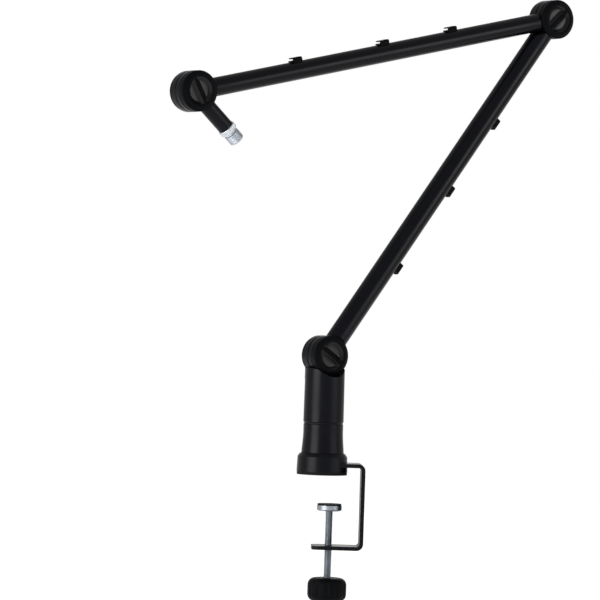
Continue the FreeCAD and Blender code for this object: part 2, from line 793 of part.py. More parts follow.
def build_clamp_screw():
    """The pressure pad with its cushion, the screw below it and the screw's knob."""
    axis = FreeCAD.Placement(FreeCAD.Vector(size.screw_offset.value, 0, 0), FreeCAD.Rotation())
    socket = size.screw_tip_radius + size.running_clearance
    floor = PAD_UNDERSIDE + size.screw_tip_length
    pad = revolved([
        (0, floor), (socket, floor), (socket, PAD_UNDERSIDE),
        (size.pad_radius - size.pad_edge, PAD_UNDERSIDE), (size.pad_radius, PAD_UNDERSIDE + size.pad_edge),
        (size.pad_radius, PAD_SEAT), (0, PAD_SEAT),
    ])
    finish(pad, "pressure_pad", axis)
    cushion = group(rod(size.cushion_radius, size.cushion_thickness, (0, 0, PAD_SEAT)))
    finish(cushion, "pressure_pad_cushion", axis)

    shoulder = PAD_UNDERSIDE - size.seat_gap
    seat = CLAMP_KNOB_TOP - size.screw_seat_depth + size.seat_gap
    screw = fuse(rod(size.screw_radius, shoulder - seat, (0, 0, seat)),
                 rod(size.screw_tip_radius, size.screw_tip_length + size.seat_gap - size.running_clearance,
                     (0, 0, shoulder)))
    finish(screw, "clamp_screw", axis)

    low = CLAMP_KNOB_TOP - size.clamp_knob_height
    bore = size.screw_radius + size.seat_gap
    knob = revolved([
        (0, low), (size.clamp_knob_radius, low), (size.clamp_knob_radius, CLAMP_KNOB_TOP),
        (bore, CLAMP_KNOB_TOP), (bore, seat - size.seat_gap), (0, seat - size.seat_gap),
    ], [(size.clamp_knob_radius, rim, size.clamp_knob_round) for rim in (low, CLAMP_KNOB_TOP)])
    flutes = []
    reach = size.clamp_knob_radius + size.clamp_knob_flute_radius - size.clamp_knob_flute_bite
    for number in range(CLAMP_KNOB_FLUTES):
        x, y = polar(reach, number * FULL_TURN / CLAMP_KNOB_FLUTES)
        flutes.append(rod(size.clamp_knob_flute_radius, size.clamp_knob_height * 2,
                          (x, y, low - size.clamp_knob_height / 2)))
    finish(cut(knob, *flutes), "clamp_knob", axis)


# Column
def build_column():
    """The swivel column with a rear ear on top, and the pin that it turns on."""
    pin_top = COLUMN_FOOT + size.swivel_pin_depth
    bore = size.swivel_pin_radius + size.seat_gap
    shaft = revolved([
        (bore, COLUMN_FOOT), (size.column_radius - size.column_bevel, COLUMN_FOOT),
        (size.column_radius, COLUMN_FOOT + size.column_bevel),
        (size.column_top_radius, COLUMN_TOP - size.column_bevel),
        (size.column_top_radius - size.column_bevel, COLUMN_TOP),
        (0, COLUMN_TOP), (0, pin_top), (bore, pin_top),
    ])
    neck = block((-size.column_neck_half, REAR_EAR_FACE, COLUMN_NECK_START),
                 (size.column_neck_half, REAR_EAR_BACK, size.pivot_height))
    disc = ear(REAR_EAR_BACK, size.rear_ear_thickness)
    lifted_disc = group(disc)
    lifted_disc.setExpression("Placement.Base.z", size.pivot_height.text)
    sweep = rod(EAR_SWEEP, size.column_radius * 2, (0, REAR_EAR_FACE - size.column_radius * 2, 0), "y")
    cap_room = rod(size.hinge_radius, size.column_radius, (0, REAR_EAR_BACK, 0), "y")
    room = group(fuse(sweep, bolt_room(), cap_room))
    room.setExpression("Placement.Base.z", size.pivot_height.text)
    finish(cut(fuse(shaft, neck, lifted_disc), room), "column", COLUMN_PLACE)

    pin_foot = size.sleeve_cavity
    core = size.swivel_screw_radius + size.seat_gap
    pin = ring(size.swivel_pin_radius, core, pin_top - size.seat_gap - pin_foot, (0, 0, pin_foot), "z")
    finish(pin, "swivel_pin", COLUMN_PLACE)
    washer_top = pin_foot - size.seat_gap
    washer_foot = washer_top - size.swivel_washer_thickness
    finish(ring(size.swivel_washer_radius, core, size.swivel_washer_thickness, (0, 0, washer_foot), "z"),
           "swivel_washer", COLUMN_PLACE)
    head_foot = washer_foot - size.seat_gap - size.swivel_head_height
    screw = fuse(prism(size.swivel_head_radius, size.swivel_head_height, (0, 0, head_foot), "z"),
                 rod(size.swivel_screw_radius, size.swivel_screw_length, (0, 0, head_foot)))
    finish(screw, "swivel_screw", COLUMN_PLACE)


# Head
def build_head():
    """The microphone stem with its ear, the threaded stud and the ring that locks the microphone."""
    stud_start = size.stem_length + size.seat_gap
    thread_start = stud_start + size.collar_ring_length + size.stud_neck_length
    shank_start = size.stem_length - size.stud_shank_length
    stem = fuse(front_fitting(size.stem_radius, size.stem_length - size.stem_bevel,
                              [(size.upper_tube_radius, HEAD_FOLD)]),
                cone(size.stem_radius, size.stem_radius - size.stem_bevel, size.stem_bevel,
                     (size.stem_length - size.stem_bevel, 0, 0), "x"))
    socket = rod(size.stud_shank_radius + size.seat_gap, size.stud_shank_length + size.overrun,
                 (shank_start, 0, 0), "x")
    finish(cut(stem, socket), "mic_stem", STEM_PLACE)
    full = size.stud_thread_length - size.stud_bevel
    stud = fuse(
        rod(size.stud_shank_radius, size.stud_shank_length, (shank_start + size.seat_gap, 0, 0), "x"),
        rod(size.stud_neck_radius, thread_start - stud_start, (stud_start, 0, 0), "x"),
        rod(size.stud_radius, full, (thread_start, 0, 0), "x"),
        cone(size.stud_radius, size.stud_radius - size.stud_bevel, size.stud_bevel,
             (thread_start + full, 0, 0), "x"))
    finish(stud, "mic_thread_stud", STEM_PLACE)
    straight = size.collar_ring_length - size.collar_ring_bevel * 2
    narrow = size.collar_ring_radius - size.collar_ring_bevel
    outside = fuse(
        cone(narrow, size.collar_ring_radius, size.collar_ring_bevel, (stud_start, 0, 0), "x"),
        rod(size.collar_ring_radius, straight, (stud_start + size.collar_ring_bevel, 0, 0), "x"),
        cone(size.collar_ring_radius, narrow, size.collar_ring_bevel,
             (stud_start + size.collar_ring_bevel + straight, 0, 0), "x"))
    bore_radius = size.stud_neck_radius + size.seat_gap
    bore = rod(bore_radius, size.collar_ring_length * 2, (size.stem_length, 0, 0), "x")
    finish(cut(outside, bore), "lock_ring", STEM_PLACE)


build_foot()
build_bracket()
build_swivel()
build_clamp_screw()
build_column()
build_arm("lower", size.lower_tube_radius, LOWER_CLIP_SHARES, LOWER_PLACE,
          (), (size.upper_tube_radius, ELBOW_FOLD))
build_arm("upper", size.upper_tube_radius, UPPER_CLIP_SHARES, UPPER_PLACE,
          [(size.lower_tube_radius, ELBOW_FOLD)], (size.stem_radius, HEAD_FOLD))
build_head()
build_hinge("base", COLUMN_TOP_PLACE, LOWER_PLACE, BASE_BAR_ANGLE)
build_hinge("elbow", LOWER_END_PLACE, UPPER_PLACE, ELBOW_BAR_ANGLE)
build_hinge("head", UPPER_END_PLACE, STEM_PLACE, HEAD_BAR_ANGLE)
doc.recompute()

for item in doc.Objects:
    if "Invalid" in item.State or "Error" in item.State:
        raise RuntimeError(f"{item.Label} failed: {item.State}")
for piece in pieces:
    if piece.Shape.isNull() or not piece.Shape.isValid():
        raise RuntimeError(f"{piece.Label} has no valid shape")

os.makedirs("parts", exist_ok=True)
for piece in pieces:
    piece.Shape.exportStep(os.path.join("parts", f"{piece.Label}.step"))
    print(piece.Label, len(piece.Shape.Solids), round(piece.Shape.Volume, 1))
for name, hinge in (("base", BASE_HINGE), ("elbow", ELBOW_HINGE), ("head", HEAD_HINGE)):
    print(name, "hinge at", [round(value, 3) for value in hinge])
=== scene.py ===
# %% [markdown]
# A microphone boom arm that a screw clamp holds by its foot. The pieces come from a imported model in
# metres, with every hinge in its place. This lesson gives each surface its finish, cuts the threads,
# moulds the knobs, and then lights and photographs the arm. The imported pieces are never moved: a new
# piece takes its size and place from them.

import json
import math

import bpy
import numpy as np
from mathutils import Matrix, Vector


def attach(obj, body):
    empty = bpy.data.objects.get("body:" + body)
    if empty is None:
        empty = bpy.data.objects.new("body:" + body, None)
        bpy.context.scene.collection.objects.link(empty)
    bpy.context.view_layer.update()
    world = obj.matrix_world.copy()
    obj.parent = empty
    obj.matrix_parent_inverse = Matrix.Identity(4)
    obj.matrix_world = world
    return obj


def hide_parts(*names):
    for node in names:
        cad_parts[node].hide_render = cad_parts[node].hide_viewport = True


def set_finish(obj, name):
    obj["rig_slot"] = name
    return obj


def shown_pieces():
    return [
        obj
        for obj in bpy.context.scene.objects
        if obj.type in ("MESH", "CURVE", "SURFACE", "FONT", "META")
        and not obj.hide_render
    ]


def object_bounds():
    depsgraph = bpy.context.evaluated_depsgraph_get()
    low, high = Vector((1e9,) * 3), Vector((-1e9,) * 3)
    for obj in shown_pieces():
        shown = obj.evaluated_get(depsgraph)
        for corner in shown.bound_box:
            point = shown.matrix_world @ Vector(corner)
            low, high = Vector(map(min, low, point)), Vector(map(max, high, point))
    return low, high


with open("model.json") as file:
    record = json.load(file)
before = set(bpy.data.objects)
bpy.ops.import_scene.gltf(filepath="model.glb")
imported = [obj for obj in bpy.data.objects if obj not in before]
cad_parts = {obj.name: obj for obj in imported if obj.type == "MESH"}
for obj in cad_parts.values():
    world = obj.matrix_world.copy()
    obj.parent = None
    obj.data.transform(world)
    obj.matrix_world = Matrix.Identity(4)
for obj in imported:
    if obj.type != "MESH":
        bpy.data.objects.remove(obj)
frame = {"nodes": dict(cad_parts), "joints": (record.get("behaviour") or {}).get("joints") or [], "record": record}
cad_low, cad_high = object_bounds()
record = frame["record"]
joints = {joint["name"]: joint for joint in frame["joints"]}
mounts = {mount["name"]: mount for mount in record["mounts"]}
scene = bpy.context.scene
MM = 0.001
print("packed arm, metres:", [round(side, 4) for side in cad_high - cad_low])

# %% [markdown]
# The camera stands far away with a long lens, so the foot's round edge looks almost straight and the
# uprights stay parallel. A short lens close by would show the arm as large, but with its near end
# swollen. The camera is also turned a little about its own line of sight, which makes the whole arm lean,
# as in the picture.

# %% Camera
PICTURE_PIXELS = 600
FOCAL_PIXELS = 3799.84
SENSOR_MM = 36.0
CAMERA_PLACE = (-0.12245, -3.93, 0.19022)
CAMERA_YAW = -0.02396
CAMERA_DIP = 0.00268
CAMERA_ROLL = 0.03165


def put_in_scene(name, data):
    """Make an object of a camera, a mesh or a lamp, and put it in the scene."""
    thing = bpy.data.objects.new(name, data)
    scene.collection.objects.link(thing)
    return thing


camera = put_in_scene("camera", bpy.data.cameras.new("camera"))
camera.data.sensor_width = SENSOR_MM
camera.data.lens = FOCAL_PIXELS / PICTURE_PIXELS * SENSOR_MM
heading = Matrix.Rotation(CAMERA_YAW, 4, "Z") @ Matrix.Rotation(math.pi / 2 - CAMERA_DIP, 4, "X")
camera.matrix_world = Matrix.Translation(CAMERA_PLACE) @ heading @ Matrix.Rotation(CAMERA_ROLL, 4, "Z")
scene.camera = camera
print("lens:", round(camera.data.lens, 1), "mm")

# %% [markdown]
# The links of the arm lie askew in the room. A piece could be modelled upright and then turned into
# place, but a pattern on it would turn as well, so its points are worked out where they belong. Every
# link has a frame of its own for that: X runs along the link, Y runs along the hinge to the back, and Z
# completes the set. The hinges and the stem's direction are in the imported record, so the frames follow
# from it.

# %% Frames of the links
FRONT = np.array(joints["base_hinge"]["axis"])
HINGES = {name: np.array(joints[f"{name}_hinge"]["pos_m"]) for name in ("base", "elbow", "head")}
STEM_LINE = np.array(mounts["mic_thread"]["axis"])


def link_frame(origin, along):
    """A link's origin, X, Y and Z as four rows: Y is minus the hinge's front, and Z is X cross Y."""
    along = np.asarray(along) / np.linalg.norm(along)
    back = -FRONT / np.linalg.norm(FRONT)
    return np.array([origin, along, back, np.cross(along, back)])


def placed(link, x, y, z):
    """Local lengths in millimetres to points in metres: the origin plus each length times its direction."""
    local = np.stack(np.broadcast_arrays(x, y, z), axis=-1) * MM
    return link[0] + local @ link[1:]


def reach(node, link):
    """Lowest and highest local X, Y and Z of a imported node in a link's frame, in millimetres."""
    mesh = frame["nodes"][node].data
    flat = np.empty(len(mesh.vertices) * 3)
    mesh.vertices.foreach_get("co", flat)
    local = (flat.reshape(-1, 3) - link[0]) @ link[1:].T / MM
    return local.min(axis=0), local.max(axis=0)


UPRIGHT = np.array([[0, 0, 0], [1, 0, 0], [0, 1, 0], [0, 0, 1]], float)
STEM = link_frame(HINGES["head"], STEM_LINE)
print("stem reaches, millimetres:", reach("mic_thread_stud", STEM)[1].round(2))

# %% [markdown]
# New pieces are grids: a shape is a function of two numbers, worked out for all points at once, and the
# faces join each point to its neighbours. Extruding by hand gives faces like these too, but then they
# don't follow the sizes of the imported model. A row that closes on itself is a ring, and the last ring of
# a shape is closed by one many-sided face.

# %% Grids to meshes


def grid_faces(rows, columns, wrap=False, loop=False):
    """Quads between the neighbours of a grid that is numbered row by row.

    With wrap the end of each row joins its start, and with loop the last row joins the first.
    """
    row_steps = rows if loop else rows - 1
    column_steps = columns if wrap else columns - 1
    row, column = np.meshgrid(np.arange(row_steps), np.arange(column_steps), indexing="ij")
    here, above = row * columns, (row + 1) % rows * columns
    right = (column + 1) % columns
    return np.stack([here + column, here + right, above + right, above + column], axis=-1).reshape(-1, 4)


def add_piece(name, points, quads, body, slot, nodes, ends=()):
    """A mesh of points and faces, with its body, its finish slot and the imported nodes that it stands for."""
    faces = np.asarray(quads).tolist() + [list(end) for end in ends]
    mesh = bpy.data.meshes.new(name)
    mesh.from_pydata(np.asarray(points).reshape(-1, 3).tolist(), [], faces)
    mesh.polygons.foreach_set("use_smooth", np.ones(len(mesh.polygons), bool))
    mesh.update()
    piece = put_in_scene(name, mesh)
    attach(piece, body)
    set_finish(piece, slot)
    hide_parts(*nodes)
    print(name, "has", len(faces), "faces")


def around(columns):
    """The angles of a ring's points, evenly over one turn."""
    return np.linspace(0, 2 * np.pi, columns, endpoint=False)


def turned_piece(name, link, axis, radius, height, body, slot, nodes, bored=False):
    """A turned shape: radius is a grid of profile by angle, and each row is a ring at its height on an axis.

    A point is (height, radius cos a, radius sin a), with the first length along the axis. The two ends close
    with a face each, or with each other where the shape has a bore.
    """
    rows, columns = radius.shape
    angles = around(columns)
    across, up = radius * np.cos(angles), radius * np.sin(angles)
    along = height[:, None] + 0 * angles
    points = placed(link, *((along, across, up) if axis == "x" else (across, up, along)))
    quads = grid_faces(rows, columns, wrap=True, loop=bored)
    first, last = np.arange(columns), np.arange(columns) + (rows - 1) * columns
    add_piece(name, points, quads, body, slot, nodes, [] if bored else [first[::-1], last])


print("a ring of 12 points and 3 rows has", len(grid_faces(3, 12, wrap=True)), "faces")

# %% [markdown]
# Two threads show on the arm: the long screw of the clamp and the stud for the microphone. Blender's
# Screw modifier could wind them, but it leaves their ends open. Here a thread is a lathe shape whose
# radius falls and rises once per pitch, and whose wave slips along by one pitch in each turn. That makes
# the helix, and the shape stays closed.

# %% Shape of a thread
THREAD_FLAT = 0.14


def thread_wave(turns):
    """Depth of a thread, 0 at its crest and 1 at its root: a triangle wave with its peaks cut flat."""
    triangle = np.abs((turns % 1.0) * 2 - 1)
    return np.clip((1 - triangle - THREAD_FLAT) / (1 - 2 * THREAD_FLAT), 0, 1)


def threaded(height, angles, crest, pitch, depth):
    """Radius of a right-hand thread: the crest less a wave of height / pitch minus the share of a turn."""
    turns = height[:, None] / pitch - angles[None, :] / (2 * np.pi)
    return crest - depth * thread_wave(turns)


def eased(value, low, high):
    """0 below low, 1 above high, and a smooth step between."""
    share = np.clip((value - low) / (high - low), 0, 1)
    return share * share * (3 - 2 * share)


print("thread depth at a crest, on a flank and at a root:", thread_wave(np.array([0, 0.25, 0.5])))

# %% [markdown]
# The clamp screw is an M8 screw with 1.25 mm between its crests. Under the pressure pad the thread ends
# at a shoulder, and a plain tip goes on into the pad. The last turn eases down to the root, as it does
# where a thread runs out, so no sharp tooth is left standing at the shoulder.

# %% Clamp screw
CLAMP_PITCH = 1.25
CLAMP_DEPTH = 0.72
CLAMP_ROWS_PER_PITCH = 12
CLAMP_COLUMNS = 64
PAD_SOCKET = 3.6
TIP_RADIUS = 3.0
TIP_BEVEL = 0.5
screw_low, screw_high = reach("clamp_screw", UPRIGHT)
screw_middle = (screw_low + screw_high) / 2
SCREW_FRAME = UPRIGHT.copy()
SCREW_FRAME[0] = (screw_middle[0] * MM, screw_middle[1] * MM, 0)
screw_radius = (screw_high[0] - screw_low[0]) / 2
shoulder = screw_high[2] - PAD_SOCKET
screw_angles = around(CLAMP_COLUMNS)
screw_rows = int((shoulder - screw_low[2]) / CLAMP_PITCH * CLAMP_ROWS_PER_PITCH)
screw_height = np.linspace(screw_low[2], shoulder, screw_rows)
screw_wall = threaded(screw_height, screw_angles, screw_radius, CLAMP_PITCH, CLAMP_DEPTH)
lead_in = eased(shoulder - screw_height, 0, CLAMP_PITCH)[:, None]
screw_wall = screw_wall * lead_in + np.minimum(screw_wall, screw_radius - CLAMP_DEPTH) * (1 - lead_in)
tip_height = np.array([shoulder, screw_high[2] - TIP_BEVEL, screw_high[2]])
tip_wall = np.array([TIP_RADIUS, TIP_RADIUS, TIP_RADIUS - TIP_BEVEL])[:, None] + 0 * screw_angles
turned_piece(
    "clamp_thread", SCREW_FRAME, "z", np.vstack([screw_wall, tip_wall]),
    np.concatenate([screw_height, tip_height]), "screw", "steel", ["clamp_screw"])

# %% [markdown]
# The microphone stud has the standard 5/8 inch thread with 27 crests to the inch. A lathe makes it in
# passes, and each pass can only take metal away. The code does the same: the thread, the bevel at its end
# and the slope up from the neck are three radii, and the smallest one is what is left of the bar. A
# shallow hollow is sunk into the end.

# %% Microphone stud
INCH = 25.4
STUD_PITCH = INCH / 27
STUD_DEPTH = 0.56
STUD_ROWS_PER_PITCH = 16
STUD_COLUMNS = 128
SHANK_RADIUS = 4.0
NECK_RADIUS = 6.4
NECK_LENGTH = 2.2
NECK_SLOPE_RISE = 1.7
NECK_SLOPE_LENGTH = 0.8
BEVEL_ABOVE_CREST = 0.35
BEVEL_DROP = 1.1
BEVEL_LENGTH = 1.3
END_FACE_INSET = 1.4
HOLLOW_MOUTH = 3.2
HOLLOW_FLOOR = 2.6
HOLLOW_DEPTH = 0.7
HOLLOW_CENTRE = 0.4
stud_low, stud_high = reach("mic_thread_stud", STEM)
ring_low, ring_high = reach("lock_ring", STEM)
stud_radius = mounts["mic_thread"]["dims"]["r_mm"]
stud_end = stud_high[0]
neck_end = ring_high[0] + NECK_LENGTH
stud_angles = around(STUD_COLUMNS)
thread_rows = int((stud_end - neck_end) / STUD_PITCH * STUD_ROWS_PER_PITCH)
thread_height = np.linspace(neck_end, stud_end, thread_rows)
thread_wall = threaded(thread_height, stud_angles, stud_radius, STUD_PITCH, STUD_DEPTH)
bevel_fall = BEVEL_DROP * eased(thread_height, stud_end - BEVEL_LENGTH, stud_end)
bevel_line = stud_radius + BEVEL_ABOVE_CREST - bevel_fall[:, None]
start_rise = NECK_SLOPE_RISE * eased(thread_height, neck_end, neck_end + NECK_SLOPE_LENGTH)
start_line = NECK_RADIUS + start_rise[:, None]
thread_wall = np.minimum(np.minimum(thread_wall, bevel_line), start_line)
stem_end = ring_low[0]
shank_height = np.array([stud_low[0], stem_end, stem_end])
shank_wall = np.array([SHANK_RADIUS, SHANK_RADIUS, NECK_RADIUS])[:, None] + 0 * stud_angles
end_height = stud_end - np.array([0, 0, HOLLOW_DEPTH, HOLLOW_DEPTH])
end_radii = np.array([stud_radius - END_FACE_INSET, HOLLOW_MOUTH, HOLLOW_FLOOR, HOLLOW_CENTRE])
end_wall = end_radii[:, None] + 0 * stud_angles
turned_piece(
    "mic_thread", STEM, "x", np.vstack([shank_wall, thread_wall, end_wall]),
    np.concatenate([shank_height, thread_height, end_height]), "head", "plated_thread", ["mic_thread_stud"])

# %% [markdown]
# The lock ring is turned from round bar and then knurled with straight teeth, so that fingers can hold
# it. An Array modifier could repeat one tooth, but a cosine of the angle gives all of them at once, with
# no seams. The teeth fade out at both bevels, because the knurling wheel only presses the middle band.

# %% Lock ring
KNURL_TEETH = 56
KNURL_DEPTH = 0.32
KNURL_FADE = 0.5
COLUMNS_PER_TOOTH = 6
RING_ROWS = 26
RING_BEVEL = 0.7
RING_BEVEL_LEAD = 0.1
RING_FIT = 0.06
ring_radius = ring_high[1]
ring_angles = around(KNURL_TEETH * COLUMNS_PER_TOOTH)
ring_height = np.linspace(ring_low[0], ring_high[0], RING_ROWS)
from_face = np.minimum(ring_height - ring_low[0], ring_high[0] - ring_height)
bevel = ring_radius - RING_BEVEL * (1 - eased(from_face, -RING_BEVEL_LEAD, RING_BEVEL))
band = eased(from_face, RING_BEVEL, RING_BEVEL + KNURL_FADE)
teeth = KNURL_DEPTH * (0.5 - 0.5 * np.cos(ring_angles * KNURL_TEETH))
ring_wall = bevel[:, None] - band[:, None] * teeth
bore_wall = np.full((1, len(ring_angles)), NECK_RADIUS + RING_FIT)
ring_rows = np.vstack([bore_wall, ring_wall, bore_wall])
ring_steps = np.concatenate([ring_low[:1], ring_height, ring_high[:1]])
turned_piece(
    "knurled_ring", STEM, "x", ring_rows, ring_steps, "head", "plated_thread", ["lock_ring"], bored=True)

# %% [markdown]
# Each hinge is locked by a moulded knob: a low dome with a hollow in it, a grip ridge across the hollow,
# and a dished half moon on each side of the ridge. A lathe can't make the ridge, and sculpting would give
# no sizes to rely on, so the front is a depth that is worked out for every place on a disc.

# %% Front of a hinge knob
CREST_RADIUS = 15.8
CREST_ROUND = 0.35
FLANK_SLOPE = 0.85
FLANK_WIDTH = 3.0
FLANK_BLEND = 0.3
BROW_SLOPE = 0.40
BROW_CURVE = 0.04
DISH_REACH = 4.6
DISH_DROP = 1.6
DISH_BLEND = 2.5


def soft_least(first, second, blend):
    """The smaller of two lengths, with a round fillet where they come within one blend of each other."""
    share = np.clip(0.5 + 0.5 * (second - first) / blend, 0, 1)
    return second * (1 - share) + first * share - blend * share * (1 - share)


def flank(away, slope):
    """Depth beside a crest: a straight slope whose top is rounded by a hyperbola."""
    return np.hypot(slope * away, CREST_ROUND) - CREST_ROUND


def knob_depth(x, z):
    """Depth of a knob's front at a place on it: a ridge across it, a round crest, and a dish on each side.

    The ridge and the crest fall to the dishes on equal flanks. A dish falls from their feet by one minus
    the fourth power of what is left to its middle, so its floor is nearly flat. Outside the crest, the
    brow falls to the edge.
    """
    across, inward = np.abs(z), CREST_RADIUS - np.hypot(x, z)
    ridge = flank(np.minimum(across, FLANK_WIDTH), FLANK_SLOPE)
    crest = flank(np.clip(inward, 0, FLANK_WIDTH), FLANK_SLOPE)
    room = soft_least(across - FLANK_WIDTH, inward - FLANK_WIDTH, DISH_BLEND)
    dish = DISH_DROP * (1 - (1 - np.clip(room / DISH_REACH, 0, 1)) ** 4)
    brow = flank(np.maximum(-inward, 0), BROW_SLOPE) + BROW_CURVE * np.maximum(-inward, 0) ** 2
    return np.maximum(soft_least(ridge, crest, FLANK_BLEND), 0) + dish + brow


print("depth in the middle of a dish, millimetres:", round(float(knob_depth(0.0, CREST_RADIUS / 2)), 2))

# %% [markdown]
# The places on the disc are a grid whose rows run along the ridge, and the rows lie close together where
# its flanks are steep. The outer points of that grid go on as rings: round the edge, down the side, and
# into the steps of the back where the washer and the nut sit. Because the rings start from the front's
# own points, no seam is left to close.

# %% Grid and rings of a hinge knob
KNOB_EDGE = 1.6
KNOB_COLUMNS = 97
RIDGE_SIDE, RIDGE_ROWS = 2, 6
FLANK_FOOT, FLANK_ROWS = 5, 25
LAST_CHORD, DISH_ROWS = 0.9985, 44
EDGE_STEPS = 9
BACK_EDGE = 0.3
WASHER_ROOM = 9.06
WASHER_DEPTH = 0.5
NUT_ROOM = 5.66
NUT_GAP = 0.06


def knob_grid(flat):
    """X and Z of the front's points: at z from the ridge's line, x is -1 to 1 times the half chord."""
    half = np.concatenate([
        np.linspace(0, RIDGE_SIDE, RIDGE_ROWS),
        np.linspace(RIDGE_SIDE, FLANK_FOOT, FLANK_ROWS)[1:],
        np.linspace(FLANK_FOOT, flat * LAST_CHORD, DISH_ROWS)[1:]])
    chord_line = np.concatenate([-half[:0:-1], half])[:, None]
    x = np.linspace(-1, 1, KNOB_COLUMNS) * np.sqrt(flat**2 - chord_line**2)
    return x, chord_line + 0 * x


def knob_rings(radius, front, back, nut_front):
    """Radius and depth of the rings behind the front: a quarter round, the side, and the back's steps."""
    quarter = np.linspace(0, np.pi / 2, EDGE_STEPS)[1:]
    flat, seat = radius - KNOB_EDGE, back - WASHER_DEPTH
    brow_end = front + knob_depth(flat, 0.0)
    edge = [flat + KNOB_EDGE * np.sin(quarter), brow_end + KNOB_EDGE * (1 - np.cos(quarter))]
    steps = [
        [radius, radius - BACK_EDGE, WASHER_ROOM, WASHER_ROOM, NUT_ROOM, NUT_ROOM],
        [back - BACK_EDGE, back, back, seat, seat, nut_front - NUT_GAP]]
    return np.hstack([edge, steps])[:, :, None]


def border(rows, columns):
    """Numbers of a grid's outer points in order: first row, last column, last row and first column back."""
    grid = np.arange(rows * columns).reshape(rows, columns)
    return np.concatenate([grid[0], grid[1:, -1], grid[-1, -2::-1], grid[-2:0:-1, 0]])


print("rows of points on a knob's front:", len(knob_grid(CREST_RADIUS)[0]))

# %% [markdown]
# A knob's mould is etched all over, but for the two dishes, which are polished. The faces of the dishes
# are found here by their place, so that they can get a smoother finish later. Two objects, one for each
# finish, would do as well, but the real knob is one piece.

# %% Whole hinge knobs
KNOB_BARS = {"base": -33.5, "elbow": 43.3, "head": -61.2}
UP = np.array([0.0, 0.0, 1.0])
LEVEL = np.cross(UP, FRONT)
polished_faces = {}


def hinge_knob(name, link, body, node):
    """A knob on a hinge: its front is a depth over a disc, and its edge and back are rings about the hinge.

    A face lies in a dish if its middle is more than half a flank from the ridge's line and from the crest.
    """
    low, high = reach(node, link)
    nut_front = reach(node + "_nut", link)[0][1]
    radius, front, back = high[0], low[1], high[1]
    x, z = knob_grid(radius - KNOB_EDGE)
    face = placed(link, x, front + knob_depth(x, z), z).reshape(-1, 3)
    outer = border(*x.shape)
    turn = np.arctan2(z.ravel()[outer], x.ravel()[outer])
    ring_radius, ring_depth = knob_rings(radius, front, back, nut_front)
    rings = placed(link, ring_radius * np.cos(turn), ring_depth, ring_radius * np.sin(turn)).reshape(-1, 3)
    numbers = np.vstack([outer, len(face) + np.arange(len(rings)).reshape(-1, len(outer))])
    skin = numbers.ravel()[grid_faces(*numbers.shape, wrap=True)]
    front_faces = grid_faces(*x.shape)
    middle_x, middle_z = x.ravel()[front_faces].mean(axis=1), z.ravel()[front_faces].mean(axis=1)
    from_crests = np.minimum(np.abs(middle_z), CREST_RADIUS - np.hypot(middle_x, middle_z))
    polished_faces[name] = np.concatenate([from_crests > FLANK_WIDTH / 2, np.zeros(len(skin) + 1, bool)])
    quads = np.vstack([front_faces, skin[:, ::-1]])
    add_piece(name, np.vstack([face, rings]), quads, body, "knob_plastic", [node], [numbers[-1][::-1]])


for hinge, degrees in KNOB_BARS.items():
    bar = math.cos(math.radians(degrees)) * LEVEL + math.sin(math.radians(degrees)) * UP
    hinge_knob(f"{hinge}_grip", link_frame(HINGES[hinge], bar), f"{hinge}_knob", f"{hinge}_knob")

# %% [markdown]
# The knob under the clamp is a thick round one that the fingertips turn. Its section is a rounded block
# spun about the screw, and each of its twelve flutes is where an upright round cutter would bite into the
# side. Boolean cuts would leave ragged faces along the flutes, so the bite is worked into the radius
# instead.

# %% Clamp knob
FLUTES = 12
FLUTE_RADIUS = 2.6
FLUTE_BITE = 0.9
FLUTE_BLEND = 0.5
COLUMNS_PER_FLUTE = 24
GRIP_RADIUS = 20.2
GRIP_ROUND = 7.5
GRIP_ROUND_STEPS = 17
UNCUT = GRIP_RADIUS + 1
SCREW_ROOM = 4.06
grip_low, grip_high = reach("clamp_knob", SCREW_FRAME)
quarter = np.linspace(0, np.pi / 2, GRIP_ROUND_STEPS)
grip_height = np.concatenate([
    grip_low[2] + GRIP_ROUND * (1 - np.cos(quarter)), grip_high[2] - GRIP_ROUND * (1 - np.sin(quarter)),
    [grip_high[2], screw_low[2] - NUT_GAP]])
grip_profile = np.concatenate([
    GRIP_RADIUS - GRIP_ROUND * (1 - np.sin(quarter)), GRIP_RADIUS - GRIP_ROUND * (1 - np.cos(quarter)),
    [SCREW_ROOM, SCREW_ROOM]])
grip_angles = around(FLUTES * COLUMNS_PER_FLUTE)
from_flute = (grip_angles * FLUTES / (2 * np.pi) + 0.5) % 1 - 0.5
from_flute = from_flute * 2 * np.pi / FLUTES
cutter = GRIP_RADIUS + FLUTE_RADIUS - FLUTE_BITE
inside = np.maximum(FLUTE_RADIUS**2 - (cutter * np.sin(from_flute)) ** 2, 0)
flute_wall = np.where(inside > 0, cutter * np.cos(from_flute) - np.sqrt(inside), UNCUT)
grip_wall = soft_least(grip_profile[:, None], flute_wall[None, :], FLUTE_BLEND)
turned_piece(
    "clamp_grip", SCREW_FRAME, "z", grip_wall, grip_height, "screw", "knob_plastic", ["clamp_knob"])

# %% [markdown]
# The sleeve on the foot carries the swivel. It is a turned part that widens towards the foot in one long
# curve. A plain cone would be simpler, but the bands of light would break at its edge, and on the curve
# they bend gently. The thin washer on the sleeve keeps the column off it, and shows as a fine line.

